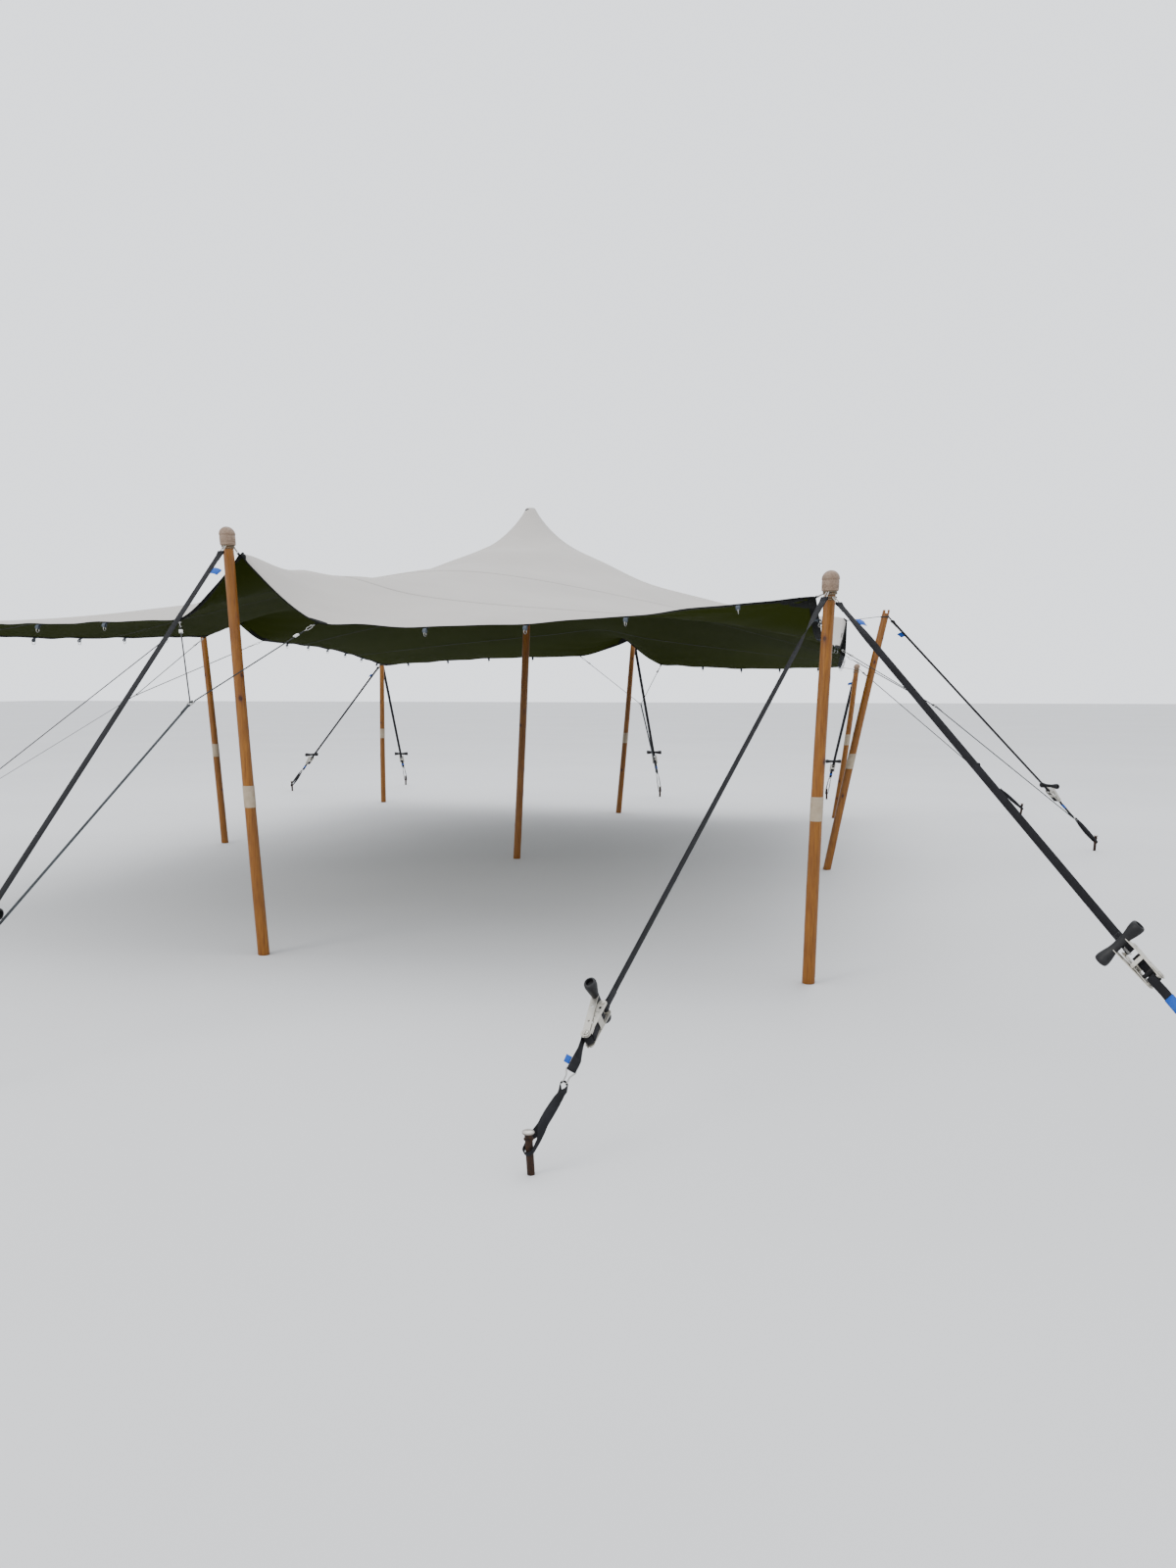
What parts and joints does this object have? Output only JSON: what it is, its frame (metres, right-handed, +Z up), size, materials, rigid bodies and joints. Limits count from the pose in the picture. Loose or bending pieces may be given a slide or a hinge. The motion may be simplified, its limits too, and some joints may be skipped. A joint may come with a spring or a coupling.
{
  "type": "stretch tent",
  "caption": "Open-sided stretch tent: a tensioned fabric canopy with one centre peak on round wooden poles, held by webbing guys with ratchets, rope bridles and steel stakes",
  "frame": {"origin": "centre of the centre pole's foot, on the ground", "axes": "+Z up; +Y to the back, along the canopy's long side; +X to the right, along its short side"},
  "size_m": [11.2903, 13.9769, 3.123],
  "materials": {
    "varnished_wood": "varnished round poles with knots",
    "turned_wood": "pale bare turned wood",
    "canopy_fabric": "matt greige stretch fabric, dark olive underside",
    "cap_rubber": "matt black",
    "guy_webbing": "black woven polyester webbing",
    "bridle_rope": "thin dark cord and grey webbing",
    "handle_plastic": "black moulded plastic",
    "steel": "plated and weathered steel"
  },
  "bodies": {
    "tent": {"bridle_back": "bridle_rope", "bridle_front": "bridle_rope", "bridle_left": "bridle_rope", "bridle_right": "bridle_rope", "canopy": "canopy_fabric", "centre_cap": "cap_rubber", "finial_back_left": "turned_wood", "finial_back_middle": "turned_wood", "finial_back_right": "turned_wood", "finial_front_left": "turned_wood", "finial_front_middle": "turned_wood", "finial_front_right": "turned_wood", "finial_left_middle": "turned_wood", "guy_back_left_rear": "guy_webbing", "guy_back_left_side": "guy_webbing", "guy_back_middle": "guy_webbing", "guy_back_right_rear": "guy_webbing", "guy_back_right_side": "guy_webbing", "guy_front_left_forward": "guy_webbing", "guy_front_left_side": "guy_webbing", "guy_front_middle": "guy_webbing", "guy_front_right_forward": "guy_webbing", "guy_front_right_side": "guy_webbing", "guy_left_middle": "guy_webbing", "guy_right_middle": "guy_webbing", "pole_back_left": "varnished_wood", "pole_back_middle": "varnished_wood", "pole_back_right": "varnished_wood", "pole_centre": "varnished_wood", "pole_front_left": "varnished_wood", "pole_front_middle": "varnished_wood", "pole_front_right": "varnished_wood", "pole_left_middle": "varnished_wood", "pole_right_middle": "varnished_wood", "stake_back_left_rear": "steel", "stake_back_left_side": "steel", "stake_back_middle": "steel", "stake_back_right_rear": "steel", "stake_back_right_side": "steel", "stake_front_left_forward": "steel", "stake_front_left_side": "steel", "stake_front_middle": "steel", "stake_front_right_forward": "steel", "stake_front_right_side": "steel", "stake_left_middle": "steel", "stake_right_middle": "steel"},
    "ratchet_handle_back_right_side_body": {"ratchet_handle_back_right_side": "handle_plastic"},
    "ratchet_handle_front_right_forward_body": {"ratchet_handle_front_right_forward": "handle_plastic"},
    "ratchet_handle_right_middle_body": {"ratchet_handle_right_middle": "handle_plastic"}
  },
  "joints": [
    {"name": "ratchet_back_right_side_hinge", "type": "hinge", "parent": "tent", "child": "ratchet_handle_back_right_side_body", "pos_m": [4.49298, 4.56651, 0.48611], "axis": [-0.2995, 0.9541, 0], "range_deg": [0, 150]},
    {"name": "ratchet_front_right_forward_hinge", "type": "hinge", "parent": "tent", "child": "ratchet_handle_front_right_forward_body", "pos_m": [2.03103, -6.29598, 0.34894], "axis": [-0.1834, -0.5501, 0.8147], "range_deg": [0, 150]},
    {"name": "ratchet_right_middle_hinge", "type": "hinge", "parent": "tent", "child": "ratchet_handle_right_middle_body", "pos_m": [4.78869, 1.32837, 0.50609], "axis": [-0.6254, 0.7803, 0], "range_deg": [0, 150]}
  ]
}
